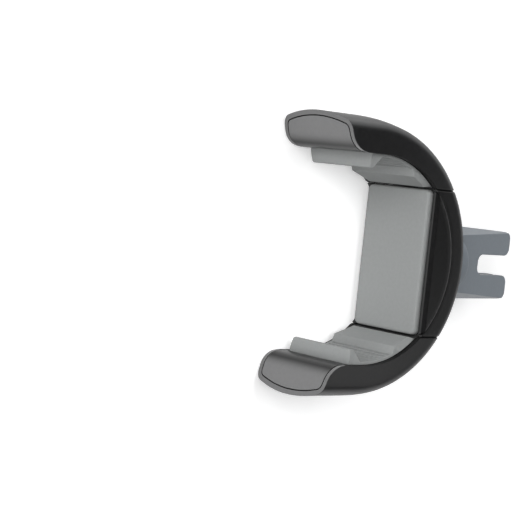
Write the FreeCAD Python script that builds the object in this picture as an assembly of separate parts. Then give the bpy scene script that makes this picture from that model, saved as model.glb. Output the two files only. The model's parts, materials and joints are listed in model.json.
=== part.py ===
"""Air vent phone holder: a crowned U of three sections on a forked louvre clip.

The two outer sections are spring-loaded arms that a rack and pinion keep level with each other.

Frame in millimetres: X runs across the two arms, -Y faces the phone, +Y points into the vent, +Z is up
along the phone. The origin is the middle of the centre pad's front face.
"""
import FreeCAD, Part
import math
import os

from FreeCAD import Vector

os.makedirs("parts", exist_ok=True)

# Band: the outer U that the cover and both arm shells share
band_radius = 41.5  # crown apex, seen along Z
crown_y = 19.5  # crown apex, behind the pad's front face
band_half_width = 15.6  # flat sides, at the inner edge
crown_arc_radius = 44.0
shoulder_radius = 3.4
shoulder_draft_deg = 5.0
crown_flats = 4
corner_flats = 3
band_wall = 1.5
band_depth = 10.8  # radially, from the inner edge of the side faces to the crown
inner_axis_lead = 1.8  # inner edge's axis, behind the crown's axis

# Arm tips: a round lead-in that runs out to a slope
tip_lead_radius = 6.5
tip_lead_drop = 6.0  # from the crown's axis to the lead-in's
tip_slope_deg = 18.0
arm_reach = 46.0  # stock length past the tips, trimmed by the slope

# Seams between the centre section and the arms
centre_half_length = 22.1
seam_gap = 0.3
seam_chamfer = 0.45
arm_travel = 12.0  # each way out, until the stop lug meets the spring post

# Inner frame of an arm and the parting groove round its face
frame_thickness = 2.6
frame_groove = 0.22
frame_end_wall = 2.2
end_land_clearance = 0.05  # the arm's end wall comes home against the centre section
end_land_margin = 0.6

# Rubber liner of an arm
liner_side_step = 2.1
liner_proud = 0.8
liner_depth = 1.2
liner_fit = 0.05
liner_root_gap = 0.3
nose_top_drop = 5.2  # below the inner edge's axis
nose_tip_drop = 2.9
nose_foot_drop = 0.2
nose_height = 3.3
nose_bulge = 0.55
nose_tip_radius = 0.5
nose_end_draft = 0.9
rib_count = 6
rib_pitch_deg = 3.0
rib_first_deg = 4.5
rib_groove_radius = 0.28
root_top_drop = 9.7  # from the inner edge at the seam
root_shoulder_drop = 8.1
root_shoulder_reach = 2.8
root_toe_drop = 1.8
root_shoulder_radius = 0.6
root_end_chamfer = 1.3

# Centre pad and the shallow recess that it lies in
pad_end_step = 0.3
pad_side_step = 2.4
pad_proud = 1.6
pad_recess = 0.6
pad_gap = 0.35
pad_edge_radius = 0.6
pad_corner_radius = 1.2
rim_bevel = 1.0

# Centre housing
front_plate = 1.8  # from the rim's face to the inside of the plate
housing_wall = 1.7
plate_tuck = 0.15  # between the plate's ends and the cover
parting_gap = 0.12  # between the housing and the cover along their parting arc
cover_end_wall = 1.2

# Rack and pinion that keep the arms level
gear_module = 0.8
pinion_teeth = 10
pressure_deg = 25.0
gear_addendum = 0.68
gear_root = 0.88
gear_backlash = 0.1
slide_gap = 0.3  # above and below each rack
rack_thickness = 4.0
rack_inner_reserve = 2.6  # tooth length past the pinion with the arms right out
rack_window_gap = 0.05
pinion_face_gap = 0.25
pin_radius = 1.25
pin_seat_depth = 0.7
pin_seat_clearance = 0.02
pinion_running_clearance = 0.05

# Return springs, beside the racks
spring_outer_radius = 1.25
spring_side_gap = 0.3
spring_edge_step = 0.05  # from the coils to the lug's edge
spring_wire_radius = 0.27
spring_wire_sides = 5
spring_turns = 8
spring_points_per_turn = 7
spring_loop_degrees = (-255, -205, -155, -105, -55, -5)
spring_peg_clearance = 0.15
spring_fixed_x = 4.8  # peg on the housing
spring_moving_step = 5.2  # from the seam to the peg on the slide
spring_lug_reach = 1.7
spring_lug_thickness = 0.5
lug_wall_gap = 1.4
stop_post_x = 2.0
stop_post_length = 1.4
stop_clearance = 0.05
stop_lug_length = 1.4
stop_lug_height = 2.0
guide_gap = 0.25
guide_rib_thickness = 0.5
guide_rib_step = 0.65  # from the slide's spring lug to the rib's end

# Keeper plate over the racks
keeper_thickness = 1.2
keeper_post_gap = 0.8  # from the plate's end to the cover's posts
keeper_wall_gap = 1.5
keeper_post_x = 9.6
keeper_post_radius = 2.1

# Screws of the centre section and their posts
screw_radius = 0.8
screw_head_radius = 1.5
screw_head_height = 0.7
screw_fit = 0.02
screw_clearance = 0.15
cover_post_step = 4.6  # from the seam to the posts
cover_post_radius = 1.9
cover_post_rise = 0.1  # above the keeper
boss_gap = 0.2
cover_screw_length = 9.2

# Flange that carries a rack inside its arm, and its two screws
flange_thickness = 1.4
flange_side_step = 0.3  # beyond the rack
flange_front_step = 0.4
flange_back_step = 1.0
flange_screw_edge = 1.8
flange_screw_pitch = 4.8
flange_screw_radius = 0.7
flange_screw_head_radius = 1.25
flange_screw_head_height = 0.7
flange_screw_depth = 1.4

# Louvre clip: collar, two slotted jaws and the swivel stem
clip_clearance = 0.3  # between the clip's dished underside and the cover
collar_radius = 10.0
collar_height = 4.6  # from the cover's crown, measured radially
collar_edge_radius = 0.4
stem_radius = 3.5
stem_depth = 5.9  # from the crown's apex to the stem's end
stem_running_clearance = 0.08
stem_boss_radius = 5.9
clip_sink = 2.5  # the jaws start this far inside the crown
clip_reach = 29.9  # from the crown to the prongs' ends
jaw_root_half_thickness = 8.4
jaw_tip_half_thickness = 3.0
jaw_land_half_thickness = 2.3
face_root_half_width = 8.5
face_tip_half_width = 10.55
side_root_half_width = 11.6
side_tip_half_width = 10.75
fork_slot_half_width = 3.2
fork_slot_depth = 16.9
fork_slot_corner = 2.4
prong_corner = 2.5
louvre_slit = 2.2
louvre_slit_depth = 19.9
louvre_mouth = 3.2
louvre_mouth_depth = 2.4

# Swivel retainer
washer_radius = 5.4
washer_thickness = 0.8
washer_gap = 0.3
retainer_radius = 1.4
retainer_head_radius = 2.7
retainer_head_height = 1.7
retainer_depth = 7.0
retainer_recess_radius = 1.1
retainer_recess_depth = 0.8

# Levels that follow from the sizes above
band_axis_y = crown_y - band_radius
inner_radius = band_radius - band_depth
inner_axis_y = band_axis_y + inner_axis_lead
tip_lead_y = band_axis_y - tip_lead_drop
nose_top_y = inner_axis_y - nose_top_drop
nose_tip_y = inner_axis_y - nose_tip_drop
nose_foot_y = inner_axis_y - nose_foot_drop
arm_seam_x = centre_half_length + seam_gap
seam_y = inner_axis_y + math.sqrt(inner_radius**2 - arm_seam_x**2)
root_top_y = seam_y - root_top_drop
liner_half_width = band_half_width - liner_side_step
pad_half_length = centre_half_length - pad_end_step
pad_half_width = band_half_width - pad_side_step
plate_front_y = pad_proud
recess_y = plate_front_y + pad_recess
plate_back_y = plate_front_y + front_plate
rack_front_y = plate_back_y + slide_gap
rack_back_y = rack_front_y + rack_thickness
keeper_front_y = rack_back_y + slide_gap
keeper_back_y = keeper_front_y + keeper_thickness
pitch_radius = gear_module * pinion_teeth / 2
gear_pitch = math.pi * gear_module
cavity_half_width = band_half_width - housing_wall
lug_outer_z = cavity_half_width - lug_wall_gap
spring_z = lug_outer_z - spring_edge_step - spring_outer_radius
guide_rib_z = spring_z - spring_outer_radius - spring_side_gap - guide_rib_thickness
rack_outer_z = guide_rib_z - guide_gap
stop_lug_z = rack_outer_z + stop_lug_height
flange_half_width = rack_outer_z + flange_side_step
flange_low_y = rack_front_y - flange_front_step
flange_high_y = rack_back_y - flange_back_step
flange_outer_screw_z = flange_half_width - flange_screw_edge
flange_screw_z = (flange_outer_screw_z - flange_screw_pitch, flange_outer_screw_z)
cover_post_x = centre_half_length - cover_post_step
post_end_y = keeper_back_y + cover_post_rise
keeper_half_length = cover_post_x - cover_post_radius - keeper_post_gap
keeper_half_width = cavity_half_width - keeper_wall_gap
spring_moving_x = centre_half_length - spring_moving_step
spring_lug_x = spring_moving_x - spring_outer_radius
spring_lug_end_x = spring_moving_x + spring_lug_reach
guide_rib_end = spring_lug_x - guide_rib_step
stem_end_y = crown_y - stem_depth
clip_root_y = crown_y - clip_sink
clip_tip_y = crown_y + clip_reach
fork_slot_root_y = clip_tip_y - fork_slot_depth
louvre_slit_root_y = clip_tip_y - louvre_slit_depth
rack_inner_end = arm_travel + rack_inner_reserve
stop_lug_x = stop_post_x - stop_clearance - arm_travel
spring_coil_radius = spring_outer_radius - spring_wire_radius
spring_peg_radius = spring_coil_radius - spring_wire_radius - spring_peg_clearance
stock = 60.0  # half size of the trimming blocks

X = Vector(1, 0, 0)
Y = Vector(0, 1, 0)
Z = Vector(0, 0, 1)
ORIGIN = Vector(0, 0, 0)


def save(name, shape):
    """Write one finished piece to its own file."""
    shape.exportStep("parts/" + name + ".step")


def block(x0, x1, y0, y1, z0, z1):
    """Box between two corners."""
    return Part.makeBox(x1 - x0, y1 - y0, z1 - z0, Vector(x0, y0, z0))


def rod(radius, y0, y1, x=0.0, z=0.0):
    """Cylinder along Y."""
    return Part.makeCylinder(radius, y1 - y0, Vector(x, y0, z), Y)


def cross_rod(radius, x0, x1, y, z):
    """Cylinder along X."""
    return Part.makeCylinder(radius, x1 - x0, Vector(x0, y, z), X)


def polygon(points):
    """Closed flat face from corner points."""
    return Part.Face(Part.makePolygon(points + [points[0]]))


def prism(edges, half_height):
    """Solid from a closed outline in the XY plane, symmetric about z = 0."""
    face = Part.Face(Part.Wire(edges))
    face.translate(Vector(0, 0, -half_height))
    return face.extrude(Vector(0, 0, 2 * half_height))


def line(a, b):
    """Straight edge."""
    return Part.LineSegment(a, b).toShape()


def arc(a, middle, b):
    """Round edge through three points."""
    return Part.Arc(a, middle, b).toShape()


def polar(axis_y, radius, degrees):
    """Point in the XY plane on a circle about (0, axis_y), 0 degrees towards +X."""
    turn = math.radians(degrees)
    return Vector(radius * math.cos(turn), axis_y + radius * math.sin(turn), 0)


def half_turn(shape):
    """The same piece on the other arm, turned half round the Y axis."""
    turned = shape.copy()
    turned.rotate(ORIGIN, Y, 180)
    return turned


def both(shape):
    """A piece together with its half-turned twin."""
    return [shape, half_turn(shape)]


def edges_where(shape, test):
    """Edges of a shape that pass a test on their middle point."""
    found = []
    for edge in shape.Edges:
        middle = edge.valueAt((edge.FirstParameter + edge.LastParameter) / 2)
        if test(edge, middle):
            found.append(edge)
    return found


def runs_along(edge, direction):
    """True for a straight edge parallel to a direction."""
    if edge.Curve.TypeId != "Part::GeomLine":
        return False
    return abs(abs(edge.Curve.Direction.dot(direction)) - 1) < 1e-6


def band_section(inset):
    """Right half of the band's section in the XZ plane: flat sides, drafted shoulders, crown.

    The crown is an arc that meets each shoulder's smaller arc tangentially, so an inset moves
    every surface in by the same amount. Inset sections belong to hidden faces and have flats
    in place of the arcs.
    """
    draft = math.radians(shoulder_draft_deg)
    arc_x = band_radius - crown_arc_radius
    outward = Vector(math.sin(draft), 0, math.cos(draft))
    edge = Vector(inner_radius - arc_x, 0, band_half_width)
    reach = crown_arc_radius - shoulder_radius
    rise = math.asin((edge.dot(outward) - shoulder_radius) / reach) - draft
    shoulder = Vector(arc_x + reach * math.cos(rise), 0, reach * math.sin(rise))
    crown = crown_arc_radius - inset
    corner = shoulder_radius - inset
    side = band_half_width - inset
    flat_end = Vector(inner_radius - inset * math.tan(draft / 2), 0, side)

    def on_crown(share):
        turn = rise * (1 - share)
        return Vector(arc_x + crown * math.cos(turn), 0, crown * math.sin(turn))

    def on_corner(share):
        turn = math.pi / 2 - draft + (rise - math.pi / 2 + draft) * share
        return shoulder + Vector(math.cos(turn), 0, math.sin(turn)) * corner

    def mirrored(points):
        return [Vector(point.x, 0, -point.z) for point in reversed(points)]

    upper = [Vector(0, 0, side), flat_end]
    if inset > 0:
        upper += [on_corner(step / corner_flats) for step in range(corner_flats)]
        upper += [on_crown(step / crown_flats) for step in range(crown_flats)]
        return polygon(upper + [Vector(arc_x + crown, 0, 0)] + mirrored(upper))
    upper.append(on_corner(0))
    lower = mirrored(upper) + upper[:1]
    corner_points = [on_corner(0), on_corner(0.5), on_crown(0)]
    edges = [line(a, b) for a, b in zip(upper[:-1], upper[1:])]
    edges.append(arc(*corner_points))
    edges.append(arc(on_crown(0), on_crown(1), on_crown(2)))
    edges.append(arc(*mirrored(corner_points)))
    edges += [line(a, b) for a, b in zip(lower[:-1], lower[1:])]
    return Part.Face(Part.Wire(edges))


def band_blank(inset):
    """The whole U as one solid, every outer surface moved in by the inset."""
    half = band_section(inset)
    half.translate(Vector(0, band_axis_y, 0))
    bow = half.revolve(Vector(0, band_axis_y, 0), Z, 180)
    leg = half.extrude(Vector(0, -arm_reach, 0))
    return bow.fuse([leg, half_turn(leg)])


def arm_region(offset, seam_x):
    """Prism over all that lies outward of the arm's inner face, moved outward by the offset."""
    radius = inner_radius + offset
    seam_deg = math.degrees(math.acos(seam_x / radius))
    lead = tip_lead_radius - offset
    lead_centre = Vector(inner_radius + tip_lead_radius, tip_lead_y, 0)

    def on_lead(degrees):
        turn = math.radians(180 + degrees)
        return lead_centre + Vector(lead * math.cos(turn), lead * math.sin(turn), 0)

    slope = math.radians(tip_slope_deg)
    lead_end = on_lead(90 - tip_slope_deg)
    run = stock - lead_end.x
    slope_end = lead_end + Vector(run, -run * math.tan(slope), 0)
    seam_point = polar(inner_axis_y, radius, seam_deg)
    edges = [
        arc(seam_point, polar(inner_axis_y, radius, seam_deg / 2), polar(inner_axis_y, radius, 0)),
        line(polar(inner_axis_y, radius, 0), on_lead(0)),
        arc(on_lead(0), on_lead((90 - tip_slope_deg) / 2), lead_end),
        line(lead_end, slope_end),
        line(slope_end, Vector(stock, stock, 0)),
        line(Vector(stock, stock, 0), Vector(seam_x, stock, 0)),
        line(Vector(seam_x, stock, 0), seam_point),
    ]
    return prism(edges, stock)


def centre_region(radius, low_y):
    """Prism of the centre section between its seams, outward of the parting arc."""
    block_all = block(-centre_half_length, centre_half_length, low_y, stock, -stock, stock)
    inside = Part.makeCylinder(radius, 2 * stock, Vector(0, inner_axis_y, -stock), Z)
    return block_all.cut(inside)


def make_cover(outer, inner):
    """Crowned centre cover with end walls, screw bosses and the swivel boss."""
    region = centre_region(inner_radius, plate_front_y)
    skin = outer.common(region)
    hollow_x = centre_half_length - cover_end_wall
    hollow = inner.common(block(-hollow_x, hollow_x, -stock, stock, -stock, stock))
    cover = skin.cut(hollow)
    boss_y = post_end_y + boss_gap
    bosses = [rod(cover_post_radius, boss_y, stock, x) for x in (-cover_post_x, cover_post_x)]
    bosses.append(rod(stem_boss_radius, stem_end_y + washer_gap, stock))
    bosses = [boss.common(band_blank(band_wall / 2)) for boss in bosses]
    cover = cover.fuse(bosses)
    window_z = lug_outer_z + slide_gap
    cover = cover.cut(block(-stock, stock, -stock, keeper_front_y, -window_z, window_z))
    plate_z = band_half_width - band_wall
    low_y = plate_back_y + parting_gap
    cover = cover.cut(block(-stock, stock, -stock, low_y, -plate_z, plate_z))
    screw_end_y = recess_y + cover_screw_length + boss_gap
    for x in (-cover_post_x, cover_post_x):
        cover = cover.cut(rod(screw_radius + screw_fit, 0, screw_end_y, x))
    cover = cover.cut(rod(stem_radius + stem_running_clearance, 0, stock))
    return cover.makeChamfer(seam_chamfer, outer_seams(cover)).removeSplitter()


def outer_seams(section):
    """The crowned outer edges of a section at its seams."""
    core = band_blank(band_wall / 2)

    def on_crown(edge, middle):
        at_seam = abs(abs(middle.x) - centre_half_length) < seam_gap + 0.01
        radius = math.hypot(middle.x, middle.y - band_axis_y)
        high = radius > band_radius - shoulder_radius
        return at_seam and high and not core.isInside(middle, 0.001, True)

    return edges_where(section, on_crown)


def make_housing(outer):
    """Front housing: the flat-sided segment under the pad, with guides and posts for the slides."""
    parting_radius = inner_radius - parting_gap
    arc_inside = Part.makeCylinder(parting_radius, 2 * stock, Vector(0, inner_axis_y, -stock), Z)
    ahead = block(-centre_half_length, centre_half_length, plate_front_y, stock, -stock, stock)
    segment = outer.common(arc_inside).common(ahead)
    cavity = block(-stock, stock, plate_back_y, stock, -cavity_half_width, cavity_half_width)
    segment = segment.cut(cavity)
    plate_z = band_half_width - band_wall - plate_tuck
    plate_x = centre_half_length
    segment = segment.fuse(block(-plate_x, plate_x, plate_front_y, plate_back_y, -plate_z, plate_z))
    posts = []
    for side in (-1, 1):
        posts.append(rod(keeper_post_radius, recess_y, keeper_front_y, side * keeper_post_x))
        posts.append(rod(cover_post_radius, recess_y, post_end_y, side * cover_post_x))
    rib_z = guide_rib_z + guide_rib_thickness
    posts += both(
        block(-guide_rib_end, -stop_post_x, recess_y, keeper_front_y - slide_gap, guide_rib_z, rib_z)
    )
    post_top = keeper_front_y - slide_gap
    post_x = stop_post_x + stop_post_length
    posts += both(block(-post_x, -stop_post_x, recess_y, post_top, rib_z, lug_outer_z))
    posts += both(rod(spring_peg_radius, recess_y, post_top, spring_fixed_x, -spring_z))
    housing = segment.fuse(posts)
    rim_z = pad_half_width + pad_gap
    housing = housing.cut(block(-stock, stock, 0, recess_y, -rim_z, rim_z))
    sink_y = recess_y + screw_head_height
    for x in (-cover_post_x, cover_post_x):
        housing = housing.cut(rod(screw_radius + screw_clearance, 0, stock, x))
        housing = housing.cut(rod(screw_head_radius + screw_clearance, 0, sink_y, x))
    for x in (-keeper_post_x, keeper_post_x):
        housing = housing.cut(rod(screw_radius + screw_fit, plate_back_y, stock, x))
    housing = housing.cut(rod(pin_radius + pin_seat_clearance, plate_back_y - pin_seat_depth, stock))
    for side in (-1, 1):
        outside_z = side * (band_half_width + rim_bevel)
        foot_z = side * (band_half_width - 2 * rim_bevel)
        before_y = plate_front_y - rim_bevel
        bevel = polygon([
            Vector(-stock, before_y, foot_z),
            Vector(-stock, plate_front_y + 2 * rim_bevel, outside_z),
            Vector(-stock, before_y, outside_z),
        ])
        housing = housing.cut(bevel.extrude(X * 2 * stock))
    return housing.removeSplitter()


def make_pad():
    """Light grey pad with softly rounded front edges."""
    pad = block(-pad_half_length, pad_half_length, 0, recess_y, -pad_half_width, pad_half_width)
    corners = edges_where(pad, lambda edge, p: runs_along(edge, Y))
    pad = pad.makeFillet(pad_corner_radius, corners)
    rim = edges_where(pad, lambda edge, p: abs(p.y) < 1e-6)
    return pad.makeFillet(pad_edge_radius, rim)


def make_keeper():
    """Plate that holds the racks and the pinion down in the housing."""
    half_x = keeper_half_length
    half_z = keeper_half_width
    plate = block(-half_x, half_x, keeper_front_y, keeper_back_y, -half_z, half_z)
    for x in (-keeper_post_x, keeper_post_x):
        plate = plate.cut(rod(screw_radius + screw_clearance, 0, stock, x))
    plate = plate.cut(rod(pin_radius + pin_seat_clearance, 0, stock))
    corners = edges_where(plate, lambda edge, p: runs_along(edge, Y) and abs(p.x) > half_x - 0.01)
    return plate.makeFillet(pad_corner_radius, corners)


def make_cover_screws():
    """The two screws under the pad that hold the cover."""
    screws = []
    for x in (-cover_post_x, cover_post_x):
        shank = rod(screw_radius, recess_y, recess_y + cover_screw_length, x)
        head = rod(screw_head_radius, recess_y, recess_y + screw_head_height, x)
        screws.append(shank.fuse(head).removeSplitter())
    return Part.makeCompound(screws)


def make_keeper_screws():
    """The two screws of the keeper plate, put in from behind."""
    screws = []
    for x in (-keeper_post_x, keeper_post_x):
        top = keeper_back_y + screw_head_height
        shank = rod(screw_radius, plate_back_y + boss_gap, top, x)
        head = rod(screw_head_radius, keeper_back_y, top, x)
        screws.append(shank.fuse(head).removeSplitter())
    return Part.makeCompound(screws)


def involute(base, radius):
    """Angle that an involute has turned through where it crosses a radius."""
    if radius <= base:
        return 0.0
    tangent = math.sqrt((radius / base) ** 2 - 1)
    return tangent - math.atan(tangent)


def make_pinion():
    """Ten-tooth pinion with involute flanks, on the Y axis."""
    tip = pitch_radius + gear_addendum
    root = pitch_radius - gear_root
    base = pitch_radius * math.cos(math.radians(pressure_deg))
    half_tooth = (gear_pitch / 2 - gear_backlash) / 2 / pitch_radius
    at_pitch = involute(base, pitch_radius)
    flank_steps = 4
    radii = [root] + [base + (tip - base) * step / flank_steps for step in range(flank_steps + 1)]
    points = []
    for tooth in range(pinion_teeth):
        middle = math.pi / 2 + tooth * 2 * math.pi / pinion_teeth
        flank = [(r, half_tooth + at_pitch - involute(base, r)) for r in radii]
        outline = [(r, middle - turn) for r, turn in flank]
        outline += [(r, middle + turn) for r, turn in reversed(flank)]
        points += [Vector(r * math.cos(a), 0, r * math.sin(a)) for r, a in outline]
    start = rack_front_y + pinion_face_gap
    end = rack_back_y - pinion_face_gap
    face = polygon(points)
    face.translate(Vector(0, start, 0))
    wheel = face.extrude(Vector(0, end - start, 0))
    return wheel.cut(rod(pin_radius + pinion_running_clearance, 0, stock))


def rack_outline():
    """Toothed plate outline of the right-hand slide in the XZ plane."""
    half_thick = (gear_pitch / 2 - gear_backlash) / 2
    lean = math.tan(math.radians(pressure_deg))
    tip_z = -(pitch_radius - gear_addendum)
    root_z = -(pitch_radius + gear_root)
    tip_half = half_thick - gear_addendum * lean
    root_half = half_thick + gear_root * lean
    points = [Vector(arm_seam_x, 0, -rack_outer_z), Vector(arm_seam_x, 0, root_z)]
    count = int(rack_inner_end / gear_pitch + 0.5)
    for tooth in range(count):
        middle = gear_pitch * (0.5 - tooth)
        points += [
            Vector(middle + root_half, 0, root_z),
            Vector(middle + tip_half, 0, tip_z),
            Vector(middle - tip_half, 0, tip_z),
            Vector(middle - root_half, 0, root_z),
        ]
    points += [Vector(-rack_inner_end, 0, root_z), Vector(-rack_inner_end, 0, -rack_outer_z)]
    return points


def make_rack():
    """Right-hand slide: toothed tongue, spring lug, stop lug and the flange inside the arm."""
    face = polygon(rack_outline())
    face.translate(Vector(0, rack_front_y, 0))
    tongue = face.extrude(Vector(0, rack_thickness, 0))
    flange_x = arm_seam_x + frame_end_wall
    root_z = -(pitch_radius + gear_root)
    neck = block(arm_seam_x, flange_x, rack_front_y, rack_back_y, -rack_outer_z, root_z)
    flange_end_x = flange_x + flange_thickness
    flange_z = flange_half_width
    flange = block(flange_x, flange_end_x, flange_low_y, flange_high_y, -flange_z, flange_z)
    lug_back_y = rack_front_y + spring_lug_thickness
    lug = block(
        spring_lug_x, spring_lug_end_x, rack_front_y, lug_back_y, -lug_outer_z, -rack_outer_z
    )
    peg = rod(spring_peg_radius, rack_front_y, rack_back_y, spring_moving_x, -spring_z)
    stop_x = stop_lug_x - stop_lug_length
    stop = block(stop_x, stop_lug_x, rack_front_y, rack_back_y, -stop_lug_z, -rack_outer_z)
    rack = tongue.fuse([neck, flange, lug, peg, stop])
    for z in flange_screw_z:
        rack = rack.cut(cross_rod(flange_screw_radius + screw_clearance, 0, stock, flange_screw_y(), z))
    return rack.removeSplitter()


def flange_screw_y():
    """Level of the flange screws."""
    return (flange_low_y + flange_high_y) / 2


def make_flange_screws():
    """Two screws that hold the slide's flange to the right arm's end wall."""
    face_x = arm_seam_x + frame_end_wall + flange_thickness
    top_x = face_x + flange_screw_head_height
    start = arm_seam_x + frame_end_wall - flange_screw_depth
    screws = []
    for z in flange_screw_z:
        shank = cross_rod(flange_screw_radius, start, face_x, flange_screw_y(), z)
        head = cross_rod(flange_screw_head_radius, face_x, top_x, flange_screw_y(), z)
        screws.append(shank.fuse(head).removeSplitter())
    return Part.makeCompound(screws)


def make_arm_shell(outer, inner):
    """Crowned outer shell of the right arm: an open channel with a D-shaped rim at its tip."""
    shell = outer.common(arm_region(0, arm_seam_x)).cut(inner)
    return shell.makeChamfer(seam_chamfer, outer_seams(shell))


def make_arm_frame():
    """Curved inner frame of the right arm with its D-shaped tip face, liner seat and end wall."""
    body = band_blank(band_wall + frame_groove)
    region = arm_region(0, arm_seam_x)
    plate = region.cut(arm_region(frame_thickness, arm_seam_x - frame_thickness))
    end_wall = region.common(
        block(arm_seam_x, arm_seam_x + frame_end_wall, -stock, stock, -stock, stock)
    )
    land_x = centre_half_length + end_land_clearance
    land = body.common(arm_region(end_land_margin, land_x)).common(
        block(land_x, arm_seam_x + end_land_margin, -stock, stock, -stock, stock)
    )
    frame = body.common(plate).fuse([body.common(end_wall), land])
    seat = arm_region(-liner_proud, liner_root_x()).cut(arm_region(liner_depth, liner_root_x() - 1))
    seat = seat.common(block(-stock, stock, nose_top_y, stock, -liner_half_width, liner_half_width))
    frame = frame.cut(seat)
    window = block(
        0,
        arm_seam_x + frame_end_wall,
        rack_front_y - rack_window_gap,
        rack_back_y + rack_window_gap,
        -rack_outer_z - rack_window_gap,
        -(pitch_radius + gear_root) + rack_window_gap,
    )
    frame = frame.cut(window)
    start = arm_seam_x + frame_end_wall - flange_screw_depth - boss_gap
    for z in flange_screw_z:
        frame = frame.cut(cross_rod(flange_screw_radius + screw_fit, start, stock, flange_screw_y(), z))
    return frame.removeSplitter()


def liner_root_x():
    """Where the liner ends beside the seam."""
    return arm_seam_x + liner_root_gap


def make_liner():
    """Rubber liner of the right arm: wall, nose ridge, root block and fine grooves."""
    root_x = liner_root_x() + liner_fit
    skin = arm_region(-liner_proud, root_x).cut(arm_region(liner_depth - liner_fit, root_x - 1))
    skin = skin.common(block(-stock, stock, nose_top_y + liner_fit, stock, -stock, stock))
    wall_x = inner_radius - liner_proud
    inside_x = wall_x + liner_proud / 2
    tip_x = wall_x - nose_height
    nose_top = Vector(wall_x, nose_top_y + liner_fit, 0)
    nose_tip = Vector(tip_x, nose_tip_y, 0)
    along = nose_tip - nose_top
    outward = Vector(-along.y, along.x, 0).normalize()
    bulge = nose_top + along * 0.5 - outward * nose_bulge
    nose_edges = [
        arc(nose_top, bulge, nose_tip),
        line(nose_tip, Vector(wall_x, nose_foot_y, 0)),
        line(Vector(wall_x, nose_foot_y, 0), Vector(inside_x, nose_foot_y, 0)),
        line(Vector(inside_x, nose_foot_y, 0), Vector(inside_x, nose_top.y, 0)),
        line(Vector(inside_x, nose_top.y, 0), nose_top),
    ]
    nose = prism(nose_edges, liner_half_width)
    apex = edges_where(nose, lambda edge, p: runs_along(edge, Z) and abs(p.x - tip_x) < 1e-6)
    nose = nose.makeFillet(nose_tip_radius, apex)
    lower_radius = inner_radius - liner_proud / 2
    top_deg = math.degrees(math.asin((root_top_y - inner_axis_y) / lower_radius))
    root_deg = math.degrees(math.acos(root_x / lower_radius))
    shoulder = Vector(arm_seam_x + root_shoulder_reach, seam_y - root_shoulder_drop, 0)
    slope_foot = Vector(root_x, seam_y - root_toe_drop, 0)
    root_edges = [
        line(polar(inner_axis_y, lower_radius, top_deg), shoulder),
        line(shoulder, slope_foot),
        line(slope_foot, polar(inner_axis_y, lower_radius, root_deg)),
        arc(
            polar(inner_axis_y, lower_radius, root_deg),
            polar(inner_axis_y, lower_radius, (root_deg + top_deg) / 2),
            polar(inner_axis_y, lower_radius, top_deg),
        ),
    ]
    root = prism(root_edges, liner_half_width)
    rounded = edges_where(root, lambda edge, p: runs_along(edge, Z) and (p - shoulder).Length < 1e-6)
    root = root.makeFillet(root_shoulder_radius, rounded)
    liner = skin.fuse([nose, root])
    liner = liner.common(block(-stock, stock, -stock, stock, -liner_half_width, liner_half_width))
    wall_radius = inner_radius - liner_proud
    for rib in range(rib_count):
        spot = polar(inner_axis_y, wall_radius, rib_first_deg + rib_pitch_deg * rib)
        groove = Part.makeCylinder(rib_groove_radius, 2 * stock, spot - Z * stock, Z)
        liner = liner.cut(groove)
    liner = liner.cut(end_bevels())
    return liner.removeSplitter()


def end_bevels():
    """Wedges that bevel the root block's and the nose's ends towards the middle of the bay."""
    cuts = []
    shoulder_x = arm_seam_x + root_shoulder_reach
    for side in (1, -1):
        low = Vector(shoulder_x - root_end_chamfer, 0, side * (liner_half_width - root_end_chamfer))
        out = Vector(shoulder_x - root_end_chamfer, 0, side * (liner_half_width + root_end_chamfer))
        far = Vector(shoulder_x + root_end_chamfer, 0, side * (liner_half_width + root_end_chamfer))
        root = polygon([low, out, far]).extrude(Vector(0, stock, 0))
        root.translate(Vector(0, root_top_y, 0))
        tip_x = inner_radius - liner_proud - nose_height
        low = Vector(tip_x, 0, side * (liner_half_width - nose_end_draft))
        out = Vector(tip_x, 0, side * (liner_half_width + nose_end_draft))
        far = Vector(tip_x + nose_height, 0, side * (liner_half_width + nose_end_draft))
        foot = Vector(tip_x + nose_height, 0, side * liner_half_width)
        nose = polygon([low, out, far, foot]).extrude(Vector(0, nose_foot_y - nose_top_y, 0))
        nose.translate(Vector(0, nose_top_y, 0))
        cuts += [root, nose]
    return cuts


def clip_section(y, face_half_width, side_half_width, half_thickness):
    """Eight-sided section of the jaws at one depth."""
    land = jaw_land_half_thickness
    quarter = [(side_half_width, land), (face_half_width, half_thickness)]
    quarter += [(-x, z) for x, z in reversed(quarter)]
    quarter += [(-x, -z) for x, z in quarter]
    return Part.makePolygon([Vector(x, y, z) for x, z in quarter + quarter[:1]])


def fork_outline():
    """Prism of the fork seen along Z: two prongs with rounded corners and the slot between them."""
    right = [
        (side_root_half_width, clip_root_y),
        (side_tip_half_width, clip_tip_y),
        (fork_slot_half_width, clip_tip_y),
        (fork_slot_half_width, fork_slot_root_y),
    ]
    outline = right + [(-x, y) for x, y in reversed(right)]
    fork = polygon([Vector(x, y, -stock) for x, y in outline]).extrude(Z * 2 * stock)

    def corners_at(y):
        return edges_where(fork, lambda edge, p: runs_along(edge, Z) and abs(p.y - y) < 0.01)

    fork = fork.makeFillet(prong_corner, corners_at(clip_tip_y))
    return fork.makeFillet(fork_slot_corner, corners_at(fork_slot_root_y))


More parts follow.
